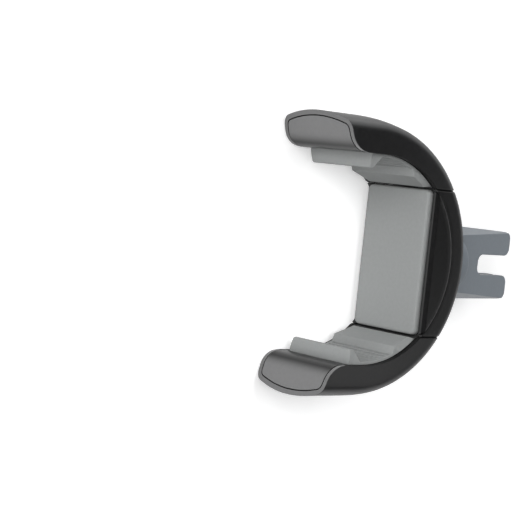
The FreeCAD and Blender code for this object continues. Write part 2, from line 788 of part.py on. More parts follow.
def make_clip():
    """Forked louvre clip in one moulding: dished collar, two slotted jaws and the swivel stem."""
    root = clip_section(
        clip_root_y, face_root_half_width, side_root_half_width, jaw_root_half_thickness
    )
    tip = clip_section(clip_tip_y, face_tip_half_width, side_tip_half_width, jaw_tip_half_thickness)
    jaws = Part.makeLoft([root, tip], True, True)
    fork = jaws.common(fork_outline())
    mouth_y = clip_tip_y - louvre_mouth_depth
    slit_points = [
        Vector(-stock, louvre_slit_root_y, -louvre_slit / 2),
        Vector(-stock, mouth_y, -louvre_slit / 2),
        Vector(-stock, clip_tip_y, -louvre_mouth / 2),
        Vector(-stock, clip_tip_y + 1, -louvre_mouth / 2),
        Vector(-stock, clip_tip_y + 1, louvre_mouth / 2),
        Vector(-stock, clip_tip_y, louvre_mouth / 2),
        Vector(-stock, mouth_y, louvre_slit / 2),
        Vector(-stock, louvre_slit_root_y, louvre_slit / 2),
    ]
    slit = polygon(slit_points).extrude(Vector(2 * stock, 0, 0))
    slit_end = cross_rod(louvre_slit / 2, -stock, stock, louvre_slit_root_y, 0)
    fork = fork.cut([slit, slit_end])
    collar_reach = band_radius + collar_height
    collar = rod(collar_radius, clip_root_y, stock)
    crown_side = Part.makeCylinder(collar_reach, 2 * stock, Vector(0, band_axis_y, -stock), Z)
    collar = collar.common(crown_side)
    rim = edges_where(collar, lambda edge, p: p.y > clip_root_y + 1 and not runs_along(edge, Y))
    collar = collar.makeFillet(collar_edge_radius, rim)
    dish = Part.makeSphere(band_radius + clip_clearance, Vector(0, band_axis_y, 0))
    head = fork.fuse(collar).cut(dish)
    stem = rod(stem_radius, stem_end_y, band_axis_y + band_radius + clip_clearance + 1)
    clip = head.fuse(stem)
    clip = clip.cut(rod(retainer_radius + screw_fit, 0, stem_end_y + retainer_depth))
    return clip.removeSplitter()


def make_washer():
    """Washer that keeps the clip's stem in the cover."""
    washer = rod(washer_radius, stem_end_y - washer_thickness, stem_end_y)
    return washer.cut(rod(retainer_radius + screw_clearance, 0, stock))


def make_retainer():
    """Screw in the end of the stem, with a round drive recess."""
    head_end = stem_end_y - washer_thickness
    head = rod(retainer_head_radius, head_end - retainer_head_height, head_end)
    shank = rod(retainer_radius, head_end, stem_end_y + retainer_depth - boss_gap)
    drive = rod(retainer_recess_radius, 0, head_end - retainer_head_height + retainer_recess_depth)
    return head.fuse(shank).removeSplitter().cut(drive)


def spring_path():
    """Points along the wire of a spring with its axis on Z: end loop, coils, end loop."""
    span = spring_moving_x - spring_fixed_x
    coil_start = spring_outer_radius + spring_wire_radius
    coil_length = span - 2 * coil_start
    steps = spring_turns * spring_points_per_turn
    coils = []
    for step in range(steps + 1):
        turn = 2 * math.pi * step / spring_points_per_turn
        height = coil_start + coil_length * step / steps
        spot = Vector(math.cos(turn), math.sin(turn), 0) * spring_coil_radius
        coils.append(spot + Z * height)
    loops = []
    for degrees in spring_loop_degrees:
        turn = math.radians(degrees)
        loops.append(Vector(math.cos(turn), 0, -math.sin(turn)) * spring_coil_radius)
    far_loops = [Vector(p.x, p.y, span - p.z) for p in reversed(loops)]
    return loops + coils + far_loops


def faceted_wire(path, radius, sides):
    """Many-sided wire along a path, its section carried along without twisting."""
    rings = []
    normal = X
    for before, here, after in zip(path[:1] + path[:-1], path, path[1:] + path[-1:]):
        along = (after - before).normalize()
        normal = (normal - along * normal.dot(along)).normalize()
        across = along.cross(normal)
        ring = []
        for corner in range(sides):
            turn = 2 * math.pi * corner / sides
            ring.append(here + (normal * math.cos(turn) + across * math.sin(turn)) * radius)
        rings.append(ring)
    facets = [polygon(rings[0][::-1]), polygon(rings[-1])]
    for near, far in zip(rings[:-1], rings[1:]):
        for corner in range(sides):
            beside = (corner + 1) % sides
            facets.append(polygon([near[corner], near[beside], far[beside]]))
            facets.append(polygon([near[corner], far[beside], far[corner]]))
    return Part.Solid(Part.Shell(facets))


def make_spring():
    """Tension spring of the right arm, its end loops over the housing's peg and the slide's peg."""
    spring = faceted_wire(spring_path(), spring_wire_radius, spring_wire_sides)
    spring.rotate(ORIGIN, Y, 90)
    spring.translate(Vector(spring_fixed_x, (rack_front_y + rack_back_y) / 2, -spring_z))
    return spring


outer_blank = band_blank(0)
inner_blank = band_blank(band_wall)

save("centre_cover", make_cover(outer_blank, inner_blank))
save("centre_housing", make_housing(outer_blank))
save("centre_pad", make_pad())
save("slide_keeper", make_keeper())
save("cover_screws", make_cover_screws())
save("keeper_screws", make_keeper_screws())
save("pinion", make_pinion())
pin_start_y = plate_back_y - pin_seat_depth
save("pinion_pin", rod(pin_radius, pin_start_y, keeper_back_y))
save("vent_clip", make_clip())
save("swivel_washer", make_washer())
save("swivel_screw", make_retainer())

arm_pieces = {
    "arm_shell": make_arm_shell(outer_blank, inner_blank),
    "arm_frame": make_arm_frame(),
    "grip_liner": make_liner(),
    "slide_rack": make_rack(),
    "rack_screws": make_flange_screws(),
    "return_spring": make_spring(),
}
for piece_name, piece in arm_pieces.items():
    save(piece_name + "_right", piece)
    save(piece_name + "_left", half_turn(piece))
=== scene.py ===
# %% [markdown]
# # An air vent phone holder
#
# The object is a short, wide U of black plastic that clips onto a louvre of a car's air vent. Its
# middle carries a grey rubber pad, its two arms slide out on springs to take a phone, and a forked
# clip swivels behind it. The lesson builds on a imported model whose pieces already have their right
# sizes, so the work here is the view, the light and above all the finishes and small forms that
# make a moulded product look real.

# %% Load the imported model
import json
import math

import bmesh
import bpy
from mathutils import Matrix, Vector


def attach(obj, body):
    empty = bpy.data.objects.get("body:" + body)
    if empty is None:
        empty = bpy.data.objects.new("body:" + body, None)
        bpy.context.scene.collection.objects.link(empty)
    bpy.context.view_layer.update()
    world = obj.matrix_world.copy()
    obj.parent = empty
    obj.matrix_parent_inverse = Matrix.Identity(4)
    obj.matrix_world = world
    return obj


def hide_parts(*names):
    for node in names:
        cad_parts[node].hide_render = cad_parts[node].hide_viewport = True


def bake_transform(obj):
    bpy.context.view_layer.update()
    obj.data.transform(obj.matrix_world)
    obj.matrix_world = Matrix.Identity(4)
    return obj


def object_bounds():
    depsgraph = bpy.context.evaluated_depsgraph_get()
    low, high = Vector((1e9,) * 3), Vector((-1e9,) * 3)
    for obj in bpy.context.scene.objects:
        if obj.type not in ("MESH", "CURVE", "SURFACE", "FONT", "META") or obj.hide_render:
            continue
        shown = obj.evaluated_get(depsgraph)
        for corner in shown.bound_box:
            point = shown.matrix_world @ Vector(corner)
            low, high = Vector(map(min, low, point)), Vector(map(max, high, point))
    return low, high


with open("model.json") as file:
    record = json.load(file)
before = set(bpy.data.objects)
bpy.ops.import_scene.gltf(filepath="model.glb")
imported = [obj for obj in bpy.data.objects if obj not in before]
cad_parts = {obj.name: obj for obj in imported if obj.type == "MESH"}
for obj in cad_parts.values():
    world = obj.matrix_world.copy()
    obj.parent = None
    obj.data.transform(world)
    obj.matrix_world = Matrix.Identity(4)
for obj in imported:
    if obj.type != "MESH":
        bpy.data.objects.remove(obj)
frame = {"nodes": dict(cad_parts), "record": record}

MM = 0.001
cad_low, cad_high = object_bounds()
nodes = frame["nodes"]
print("nodes:", len(nodes), "box in mm:", [round(v / MM, 1) for v in cad_high - cad_low])

# %% [markdown]
# ## The camera
#
# The picture looks at the holder from the phone's side and well above it, with the camera rolled
# a quarter turn, so that the arms stand one above the other. Three unit vectors say how the
# picture lies in space: which way is right, which way is up, and which way the camera looks. They
# become the columns of the camera's matrix. A long lens keeps the perspective as flat as in the
# picture.

# %% Camera
camera_place = Vector((-23.96, -345.2, 355.8)) * MM
picture_right = Vector((-0.1049, 0.7704, 0.6289))
looking_along = Vector((0.0581, 0.6361, -0.7694))
picture_up = picture_right.cross(looking_along).normalized()

camera_data = bpy.data.cameras.new("product_camera")
camera_data.sensor_width = 36.0
camera_data.lens = 112.66
camera_data.clip_start = 0.01
camera = bpy.data.objects.new("product_camera", camera_data)
bpy.context.scene.collection.objects.link(camera)
axes = Matrix((picture_right, picture_up, -looking_along)).transposed()
camera.matrix_world = Matrix.Translation(camera_place) @ axes.to_4x4()
bpy.context.scene.camera = camera
bpy.context.scene.view_settings.view_transform = "Standard"
print("camera is", round(camera_place.length / MM), "mm from the pad")

# %% [markdown]
# ## The floor
#
# The holder lies on its flat side on a white table. The floor is a real white surface, so that it
# catches a shadow and throws light back up into the dark plastic. The camera sees a little glow
# added to it, which lifts the lit floor to the white of the page and leaves the shadow.

# %% Floor
floor_size = 6.0
bpy.ops.mesh.primitive_plane_add(size=floor_size, location=(0, 0, cad_low.z))
floor = bpy.context.object
floor.name = "floor"
print("floor at", round(cad_low.z / MM, 1), "mm")

# %% Material of the floor
floor_glow = 0.34


def new_material(name):
    """An empty node material, with its tree and its output node."""
    material = bpy.data.materials.new(name)
    material.use_nodes = True
    tree = material.node_tree
    tree.nodes.clear()
    output = tree.nodes.new("ShaderNodeOutputMaterial")
    return material, tree, output


def maths(tree, operation, first, second):
    """The result of a maths node on two values, each a socket or a number."""
    node = tree.nodes.new("ShaderNodeMath")
    node.operation = operation
    for value, socket in zip((first, second), node.inputs):
        if isinstance(value, bpy.types.NodeSocket):
            tree.links.new(value, socket)
        else:
            socket.default_value = value
    return node.outputs[0]


floor_material, tree, output = new_material("white_table")
paper = tree.nodes.new("ShaderNodeBsdfDiffuse")
paper.inputs["Color"].default_value = (0.93, 0.93, 0.93, 1)
glow = tree.nodes.new("ShaderNodeEmission")
glow.inputs["Color"].default_value = (1, 1, 1, 1)
rays = tree.nodes.new("ShaderNodeLightPath").outputs
mirrored = maths(tree, "MAXIMUM", rays["Is Camera Ray"], rays["Is Glossy Ray"])
seen_directly = maths(tree, "MAXIMUM", mirrored, rays["Is Transmission Ray"])
tree.links.new(maths(tree, "MULTIPLY", seen_directly, floor_glow), glow.inputs["Strength"])
both = tree.nodes.new("ShaderNodeAddShader")
tree.links.new(paper.outputs[0], both.inputs[0])
tree.links.new(glow.outputs[0], both.inputs[1])
tree.links.new(both.outputs[0], output.inputs["Surface"])
floor.data.materials.append(floor_material)
print("the table glows with", floor_glow, "where it is seen directly")

# %% [markdown]
# ## The room
#
# The room is white low down and dark overhead: black plastic shows that as grey rims and black
# tops. It is also brighter on the picture's upper side, so that undersides of the rubber fall into
# shade. The camera itself sees plain white behind the floor.

# %% Room
room_low = 0.75
room_high = 0.03
bright_side = 1.45
dim_side = 0.5


def map_range(tree, value, before, after, smooth=False):
    """A socket's value carried from one range to another, evenly or with soft ends."""
    node = tree.nodes.new("ShaderNodeMapRange")
    if smooth:
        node.interpolation_type = "SMOOTHSTEP"
    for socket, number in zip(("From Min", "From Max", "To Min", "To Max"), (*before, *after)):
        node.inputs[socket].default_value = number
    tree.links.new(value, node.inputs["Value"])
    return node.outputs["Result"]


world = bpy.data.worlds.new("studio")
bpy.context.scene.world = world
world.use_nodes = True
tree = world.node_tree
tree.nodes.clear()
output = tree.nodes.new("ShaderNodeOutputWorld")
direction = tree.nodes.new("ShaderNodeTexCoord")
height = tree.nodes.new("ShaderNodeSeparateXYZ")
tree.links.new(direction.outputs["Generated"], height.inputs[0])
fade = map_range(tree, height.outputs["Z"], (0.1, 0.55), (room_low, room_high), smooth=True)
one_side = map_range(tree, height.outputs["X"], (-1.0, 1.0), (bright_side, dim_side))
soft = tree.nodes.new("ShaderNodeBackground")
soft.inputs["Color"].default_value = (0.97, 0.985, 1.0, 1)
tree.links.new(maths(tree, "MULTIPLY", fade, one_side), soft.inputs["Strength"])
white = tree.nodes.new("ShaderNodeBackground")
white.inputs["Color"].default_value = (1, 1, 1, 1)
white.inputs["Strength"].default_value = 1.0
rays = tree.nodes.new("ShaderNodeLightPath").outputs
low_gloss = maths(tree, "MULTIPLY", rays["Is Glossy Ray"], fade)
direct = maths(tree, "MAXIMUM", rays["Is Camera Ray"], rays["Is Transmission Ray"])
choose = tree.nodes.new("ShaderNodeMixShader")
tree.links.new(maths(tree, "MAXIMUM", low_gloss, direct), choose.inputs[0])
tree.links.new(soft.outputs[0], choose.inputs[1])
tree.links.new(white.outputs[0], choose.inputs[2])
tree.links.new(choose.outputs[0], output.inputs["Surface"])
print("room fades from", room_low, "near the table to", room_high, "overhead")

# %% [markdown]
# ## Light
#
# Two large area lamps light the holder: one over the phone's side and one from the picture's upper
# side, which gives the rubber its bright and shaded faces. They stay out of the reflections, since
# black plastic shows the room rather than its own colour. A small weak card close by is there only
# for the reflection: it makes the flat sides a little lighter towards the lower arm.

# %% Lamps


def soft_lamp(name, place, aim, size, watts, reflected=True):
    """A square area lamp at a place in millimetres, turned towards a point in millimetres."""
    data = bpy.data.lights.new(name, "AREA")
    data.shape = "SQUARE"
    data.size = size
    data.energy = watts
    lamp = bpy.data.objects.new(name, data)
    bpy.context.scene.collection.objects.link(lamp)
    lamp.location = Vector(place) * MM
    towards = Vector(aim) * MM - lamp.location
    lamp.rotation_euler = towards.to_track_quat("-Z", "Y").to_euler()
    lamp.visible_glossy = reflected
    return lamp


soft_lamp("front_softbox", (-150, -1000, 650), (0, 0, 0), size=1.2, watts=14, reflected=False)
soft_lamp("top_softbox", (-330, 50, 1200), (0, 0, 0), size=0.8, watts=8, reflected=False)
side_card = soft_lamp("side_card", (105, 215, 285), (50, -10, 15), size=0.14, watts=0.04)
side_card.visible_camera = False

# %% [markdown]
# ## Finishes
#
# Every finish starts from one recipe: a base colour, a second colour that a fine noise mixes in,
# and a grain that bends the surface's normal. Textures are laid in object space in metres, so a
# scale of several thousand gives a grain of a fraction of a millimetre. The Bevel node softens the
# sharp moulded edges where light catches them, by a tenth to a third of a millimetre.

# %% Recipe for a finish
mottle_scale = 900.0
grain_strength = 0.6


def finish(
    name, colour, second, roughness, rough_change, grain_scale, grain_height, edge, shine=0.5
):
    """A moulded finish: mottled colour, uneven gloss, fine grain and softened edges."""
    material, tree, output = new_material(name)
    add = tree.nodes.new
    link = tree.links.new
    shader = add("ShaderNodeBsdfPrincipled")
    shader.inputs["Specular IOR Level"].default_value = shine
    place = add("ShaderNodeTexCoord")
    mottle = add("ShaderNodeTexNoise")
    mottle.inputs["Scale"].default_value = mottle_scale
    mottle.inputs["Detail"].default_value = 5.0
    link(place.outputs["Object"], mottle.inputs["Vector"])
    shades = add("ShaderNodeValToRGB")
    shades.color_ramp.elements[0].position = 0.35
    shades.color_ramp.elements[1].position = 0.68
    shades.color_ramp.elements[0].color = (*colour, 1)
    shades.color_ramp.elements[1].color = (*second, 1)
    link(mottle.outputs["Fac"], shades.inputs["Fac"])
    link(shades.outputs["Color"], shader.inputs["Base Color"])
    rough_range = (roughness - rough_change, roughness + rough_change)
    gloss = map_range(tree, mottle.outputs["Fac"], (0.0, 1.0), rough_range)
    link(gloss, shader.inputs["Roughness"])
    grain = add("ShaderNodeTexNoise")
    grain.inputs["Scale"].default_value = grain_scale
    grain.inputs["Detail"].default_value = 3.0
    link(place.outputs["Object"], grain.inputs["Vector"])
    softened = add("ShaderNodeBevel")
    softened.samples = 6
    softened.inputs["Radius"].default_value = edge * MM
    bump = add("ShaderNodeBump")
    bump.inputs["Strength"].default_value = grain_strength
    bump.inputs["Distance"].default_value = grain_height * MM
    link(grain.outputs["Fac"], bump.inputs["Height"])
    link(softened.outputs["Normal"], bump.inputs["Normal"])
    link(bump.outputs["Normal"], shader.inputs["Normal"])
    link(shader.outputs["BSDF"], output.inputs["Surface"])
    return material


def principled(material):
    """The one Principled shader of a finish."""
    return next(n for n in material.node_tree.nodes if n.type == "BSDF_PRINCIPLED")


print("mottling about", round(1 / mottle_scale / MM, 1), "mm across")

# %% [markdown]
# The middle is a grained black, the arms are a little smoother, and the rim of an arm's tip is
# satin. Faces where two halves of the mould or two pieces part are dull. Pad and liners are matt
# rubber with hardly any gloss. The clip is a bluish grey plastic, the mechanism inside is left in
# its natural white, and screws and springs are zinc plated steel.

# %% The finishes
finishes = {
    "shell_black": finish(
        "grained_black", colour=(0.003, 0.003, 0.0032), second=(0.006, 0.006, 0.0063),
        roughness=0.36, rough_change=0.04, grain_scale=4200, grain_height=0.02, edge=0.3,
        shine=0.6,
    ),
    "arm_black": finish(
        "satin_shell", colour=(0.006, 0.006, 0.0064), second=(0.010, 0.010, 0.0104),
        roughness=0.33, rough_change=0.04, grain_scale=4200, grain_height=0.012, edge=0.3,
        shine=0.85,
    ),
    "frame_black": finish(
        "satin_black", colour=(0.072, 0.072, 0.073), second=(0.082, 0.082, 0.083),
        roughness=0.3, rough_change=0.03, grain_scale=3000, grain_height=0.006, edge=0.3,
        shine=0.9,
    ),
    "parting_black": finish(
        "dull_black", colour=(0.004, 0.004, 0.004), second=(0.007, 0.007, 0.007),
        roughness=0.5, rough_change=0.05, grain_scale=3000, grain_height=0.006, edge=0.2,
        shine=0.12,
    ),
    "rubber_grey": finish(
        "grey_rubber", colour=(0.246, 0.254, 0.252), second=(0.26, 0.268, 0.266),
        roughness=0.72, rough_change=0.05, grain_scale=5200, grain_height=0.02, edge=0.08,
    ),
    "clip_grey": finish(
        "blue_grey_plastic", colour=(0.18, 0.202, 0.225), second=(0.19, 0.213, 0.236),
        roughness=0.42, rough_change=0.04, grain_scale=3600, grain_height=0.01, edge=0.35,
    ),
    "mechanism_white": finish(
        "natural_plastic", colour=(0.66, 0.66, 0.63), second=(0.72, 0.72, 0.69),
        roughness=0.38, rough_change=0.04, grain_scale=3000, grain_height=0.006, edge=0.15,
    ),
    "steel": finish(
        "zinc_plated_steel", colour=(0.55, 0.55, 0.56), second=(0.66, 0.66, 0.67),
        roughness=0.3, rough_change=0.06, grain_scale=6000, grain_height=0.004, edge=0.1,
    ),
}
principled(finishes["steel"]).inputs["Metallic"].default_value = 1.0
print("finishes:", sorted(finishes))

# %% [markdown]
# Seen edge on, real moulded black stays dark where a plain shiny shader would mirror the white
# table, so both blacks of the outside lose most of their shine towards the silhouette.

# %% Dark edges for the blacks
edge_shine = 0.04


def darken_edges(material):
    """Take the shine off a finish where the surface is seen edge on."""
    tree = material.node_tree
    shine = principled(material).inputs["Specular IOR Level"]
    edge_on = tree.nodes.new("ShaderNodeLayerWeight").outputs["Facing"]
    shine_range = (shine.default_value, edge_shine)
    tree.links.new(map_range(tree, edge_on, (0.4, 0.85), shine_range, smooth=True), shine)


for look in ("shell_black", "arm_black"):
    darken_edges(finishes[look])
print("dark edges on", finishes["shell_black"].name, "and", finishes["arm_black"].name)

# %% [markdown]
# The arm's inner half has painted light and shade on it. Straight to the front, on the D shaped face
# at the tip, it is painted satin grey with reflections. Where it bends away from the front towards
# the liner, a painted shade turns it dark and dull. The finish looks at the way the surface faces in
# the arm's own space, and turned aside it fades to plain black.

# %% Finish of the arm's inner half
face_shine = 0.9
# Shine and colour of the painted shade on the bend towards the liner.
painted_shade_shine = 0.12
painted_shade_colour = (0.008, 0.008, 0.008, 1)
turned_aside = -0.55
turned_front = -0.955

face_black = finish(
    "face_black", colour=(0.094, 0.094, 0.095), second=(0.104, 0.104, 0.105),
    roughness=0.3, rough_change=0.03, grain_scale=3000, grain_height=0.006, edge=0.3,
    shine=face_shine,
)
tree = face_black.node_tree
shader = principled(face_black)
mottled = shader.inputs["Base Color"].links[0].from_socket
facing = tree.nodes.new("ShaderNodeTexCoord")
facing_axes = tree.nodes.new("ShaderNodeSeparateXYZ")
tree.links.new(facing.outputs["Normal"], facing_axes.inputs[0])
turned = (turned_aside, turned_front)
# Painted light: 1 where the face looks straight to the front, 0 where it turns aside into painted
# shade.
painted_light = map_range(tree, facing_axes.outputs["Y"], turned, (0.0, 1.0), smooth=True)
# Painted shade: the colour is mixed towards black where the face turns aside, and the shine drops
# with it.
blend = tree.nodes.new("ShaderNodeMix")
blend.data_type = "RGBA"
blend.inputs["A"].default_value = painted_shade_colour
tree.links.new(painted_light, blend.inputs["Factor"])
tree.links.new(mottled, blend.inputs["B"])
tree.links.new(blend.outputs["Result"], shader.inputs["Base Color"])
shine = map_range(tree, painted_light, (0.0, 1.0), (painted_shade_shine, face_shine))
tree.links.new(shine, shader.inputs["Specular IOR Level"])
finishes["face_black"] = face_black
print("polished where the normal's Y is below", turned_front)

# %% [markdown]
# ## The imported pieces
#
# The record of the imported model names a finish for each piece, and only the two arm frames get
# another one. The cover, the housing and the clip are kept as they are packed. Their facets are
# joined and their edges rounded with modifiers, as a mould rounds them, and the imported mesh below
# stays untouched.

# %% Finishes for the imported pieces
look_of = {part["node"]: part["material_slot"] for part in frame["record"]["subparts"]}
look_of["arm_frame_left"] = "face_black"
look_of["arm_frame_right"] = "face_black"
for name, node in nodes.items():
    for index in range(len(node.material_slots)):
        node.material_slots[index].material = finishes[look_of[name]]
print("pieces by finish:", {look: list(look_of.values()).count(look) for look in finishes})

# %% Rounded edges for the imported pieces
edge_rounds = {"centre_cover": 0.15, "centre_housing": 0.15, "vent_clip": 0.3}


def soften(node, radius):
    """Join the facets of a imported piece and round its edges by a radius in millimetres."""
    weld = node.modifiers.new("join_facets", "WELD")
    weld.merge_threshold = 0.001 * MM
    bevel = node.modifiers.new("round_edges", "BEVEL")
    bevel.width = radius * MM
    bevel.segments = 2
    bevel.limit_method = "ANGLE"
    bevel.angle_limit = math.radians(32)
    bevel.harden_normals = True


for name, radius in edge_rounds.items():
    soften(nodes[name], radius)
print("rounded in mm:", edge_rounds)

# %% [markdown]
# ## New pieces
#
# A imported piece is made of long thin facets, which is fine for measuring but not for shading. The
# arm shells, the rubber liners, the pad and the springs are therefore made again here as tidy
# grids with rounded edges. Each new piece takes the place of its packed one, rides on the same
# body and keeps the same finish. The left arm is the right arm turned half round the Y axis.

# %% Making a piece


def half_turned(points):
    """Points of the right arm turned half round the Y axis, which makes the left arm's."""
    return [(-x, y, -z) for x, y, z in points]


def make_piece(name, points, faces, look, body, stands_for, sharp_degrees=40):
    """A smooth-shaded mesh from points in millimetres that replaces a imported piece."""
    mesh = bpy.data.meshes.new(name)
    mesh.from_pydata([Vector(point) * MM for point in points], [], faces)
    work = bmesh.new()
    work.from_mesh(mesh)
    bmesh.ops.remove_doubles(work, verts=work.verts, dist=0.002 * MM)
    bmesh.ops.recalc_face_normals(work, faces=work.faces)
    for face in work.faces:
        face.smooth = True
    work.to_mesh(mesh)
    work.free()
    mesh.set_sharp_from_angle(angle=math.radians(sharp_degrees))
    mesh.materials.append(finishes[look])
    piece = bpy.data.objects.new(name, mesh)
    bpy.context.scene.collection.objects.link(piece)
    if body:
        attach(piece, body)
    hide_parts(stands_for)
    return piece


print("a right arm's point (1, 2, 3) is the left arm's", *half_turned([(1, 2, 3)]))

# %% Grids and circles


def grid_faces(rows, columns, start=0, closed=False):
    """Four-sided faces between neighbouring rows of points, all rows equally long."""
    faces = []
    for row in range(rows - 1):
        for column in range(columns if closed else columns - 1):
            a = start + row * columns + column
            b = start + row * columns + (column + 1) % columns
            faces.append((a, b, b + columns, a + columns))
    return faces


def on_arc(centre, radius, degrees):
    """Point on a circle round a centre in the XY plane."""
    turn = math.radians(degrees)
    return (centre[0] + radius * math.cos(turn), centre[1] + radius * math.sin(turn))


print("faces of 2 rows of 3 points:", grid_faces(2, 3))

# %% [markdown]
# ### Arm shells
#
# An arm shell is a moulded channel of 1.4 mm wall. Its section has flat sides with a little draft,
# a rounded shoulder and a slightly arched crown, and it is swept round the bow and straight down
# the leg. One skin swept as a grid shows no seams and shades evenly, which joined boxes and tubes
# wouldn't. Lengths are in millimetres: rho is the distance from the bow's axis, and z the distance
# from the middle plane.

# %% Section of the band
band_radius = 41.5
crown_y = 19.5
band_half_width = 15.6
crown_arc_radius = 44.0
shoulder_radius = 3.4
shoulder_draft = math.radians(5.0)
band_depth = 10.8
inner_axis_lead = 1.8

band_axis_y = crown_y - band_radius
inner_axis_y = band_axis_y + inner_axis_lead
inner_radius = band_radius - band_depth
crown_arc_rho = band_radius - crown_arc_radius
shoulder_reach = crown_arc_radius - shoulder_radius
edge_out = (inner_radius - crown_arc_rho) * math.sin(shoulder_draft)
edge_out += band_half_width * math.cos(shoulder_draft)
crown_rise = math.asin((edge_out - shoulder_radius) / shoulder_reach) - shoulder_draft
shoulder_rho = crown_arc_rho + shoulder_reach * math.cos(crown_rise)
shoulder_z = shoulder_reach * math.sin(crown_rise)
side_end_rho = shoulder_rho + shoulder_radius * math.sin(shoulder_draft)
print("shoulder centre", round(shoulder_rho, 2), round(shoulder_z, 2))

# %% [markdown]
# At the tip the shell is cut along the arm's lead-in, a quarter round that runs out into a gentle
# slope, which gives the rim its swan neck outline.

# %% Inner edge and tip
tip_lead_radius = 6.5
tip_lead_drop = 6.0
tip_slope = math.radians(18.0)
tip_lead_x = inner_radius + tip_lead_radius
tip_lead_y = band_axis_y - tip_lead_drop


def inner_edge_rho(turn):
    """Distance of the side's inner edge from the band's axis, at an angle of the bow."""
    return inner_axis_lead * math.sin(turn) + math.sqrt(
        inner_radius**2 - (inner_axis_lead * math.cos(turn)) ** 2
    )


def tip_end_y(rho):
    """Where the lead-in and the slope cut the leg at a distance from the middle plane."""
    slope_start_x = tip_lead_x - tip_lead_radius * math.sin(tip_slope)
    if rho <= slope_start_x:
        return tip_lead_y - math.sqrt(max(0.0, tip_lead_radius**2 - (tip_lead_x - rho) ** 2))
    slope_start_y = tip_lead_y - tip_lead_radius * math.cos(tip_slope)
    return slope_start_y - (rho - slope_start_x) * math.tan(tip_slope)


print("tip ends at y", round(tip_end_y(inner_radius), 2), "to", round(tip_end_y(band_radius), 2))

# %% [markdown]
# The grid has one column for each station of the section and one row for each step of the sweep.
# Columns stand closer together where the lead-in curves, so that the cut rim comes out smooth.

# %% Stations of the section
side_steps = 9
shoulder_steps = 7
crown_steps = 8


def side_stations():
    """Stations along the side face, closer together where the lead-in curves."""
    last_turn = math.pi / 2 - tip_slope
    turns = [last_turn * step / (side_steps - 1) for step in range(side_steps)]
    return [tip_lead_x - tip_lead_radius * math.cos(turn) for turn in turns] + [side_end_rho]


def station_point(column, turn, inset):
    """(rho, z) of one station on the upper half of the section at an angle of the bow."""
    stations = side_stations()
    if column < len(stations):
        edge = inner_edge_rho(max(turn, 0.0))
        share = (stations[column] - inner_radius) / (side_end_rho - inner_radius)
        rho = edge + share * (side_end_rho - edge)
        drop = max(rho - inner_radius, 0.0) * math.tan(shoulder_draft)
        return rho, band_half_width - drop - inset
    column -= len(stations) - 1
    if column <= shoulder_steps:
        start = math.pi / 2 - shoulder_draft
        corner = start + (crown_rise - start) * column / shoulder_steps
        radius = shoulder_radius - inset
        return shoulder_rho + radius * math.cos(corner), shoulder_z + radius * math.sin(corner)
    corner = crown_rise * (1 - (column - shoulder_steps) / crown_steps)
    radius = crown_arc_radius - inset
    return crown_arc_rho + radius * math.cos(corner), radius * math.sin(corner)


half_columns = side_steps + shoulder_steps + crown_steps
columns = [(column, 1) for column in range(half_columns + 1)]
columns += [(column, -1) for column in reversed(range(half_columns))]
print("stations across the band:", len(columns))

# %% [markdown]
# The arms meet the middle in a plane across the band. The angle of the bow at which a station
# reaches that plane depends on the station's own distance from the axis, so it is found by trying:
# each try puts the last angle in and gets a better one.

# %% Rows of a shell
leg_rows = 8
bow_rows = 26
first_turn = 0.9
turn_tries = 12


def seam_turn(column, inset, x):
    """Angle of the bow at which a station meets a plane across the band near the seam."""
    turn = first_turn
    for attempt in range(turn_tries):
        turn = math.acos(x / station_point(column, turn, inset)[0])
    return turn


def seam_row(inset, x):
    """One row of points across the band in a plane near the seam."""
    points = []
    for column, side in columns:
        turn = seam_turn(column, inset, x)
        rho, z = station_point(column, turn, inset)
        points.append((x, band_axis_y + rho * math.sin(turn), side * z))
    return points


def shell_skin(inset, last_x):
    """Grid of one skin of the right shell, from the tip to the seam."""
    ends = [seam_turn(column, inset, last_x) for column, side in columns]
    points = []
    for row in range(leg_rows):
        for column, side in columns:
            rho, z = station_point(column, 0.0, inset)
            share = 1 - row / leg_rows
            y = band_axis_y + share * (tip_end_y(rho) - band_axis_y)
            points.append((rho, y, side * z))
    for row in range(bow_rows + 1):
        for (column, side), end in zip(columns, ends):
            turn = end * row / bow_rows
            rho, z = station_point(column, turn, inset)
            y = band_axis_y + rho * math.sin(turn)
            points.append((rho * math.cos(turn), y, side * z))
    return points


print("rows from the tip to the seam:", leg_rows + bow_rows + 1)

# %% [markdown]
# The skin is made once for the outside and once for the inside, with strips that join the two at
# the four borders. At the seam the inner half of the wall stands out as a thin lip, which keeps
# light from shining through.

# %% Closing the shell
shell_wall = 1.42
seam_x = 22.4
seam_lip = 0.28
lip_inset = 0.35

outside = shell_skin(0.0, seam_x)
inside = shell_skin(shell_wall, seam_x - seam_lip)
lip_foot = seam_row(lip_inset, seam_x)
lip_edge = seam_row(lip_inset, seam_x - seam_lip)
shell_points = outside + inside + lip_foot + lip_edge
across = len(columns)
rows = leg_rows + bow_rows + 1
inner = len(outside)
foot = inner + len(inside)
edge = foot + across
last = (rows - 1) * across
shell_faces = grid_faces(rows, across) + grid_faces(rows, across, inner)
rim_start = len(shell_faces)
for column in range(across - 1):
    shell_faces.append((column, column + 1, inner + column + 1, inner + column))
rim_end = len(shell_faces)
for column in range(across - 1):
    for near, far in ((last, foot), (foot, edge), (edge, inner + last)):
        shell_faces.append((near + column, near + column + 1, far + column + 1, far + column))
for row in range(rows - 1):
    for column in (0, across - 1):
        a = row * across + column
        b = a + across
        lip = (foot + column, edge + column) if row == rows - 2 else ()
        shell_faces.append((a, b, *lip, inner + b, inner + a))
print("shell grid:", rows, "rows of", across, "points,", len(shell_faces), "faces")

# %% [markdown]
# A Bevel modifier rounds the borders, more on the outside than on the inside. The rim of the tip
# is left smooth in the mould, so it gets the finish of the face in it, and the parting faces along
# the frame and the seam are dull.

# %% Both shells, with rounded rims
rim_round = 0.45
inner_round_share = 0.4
rim_degrees = 50


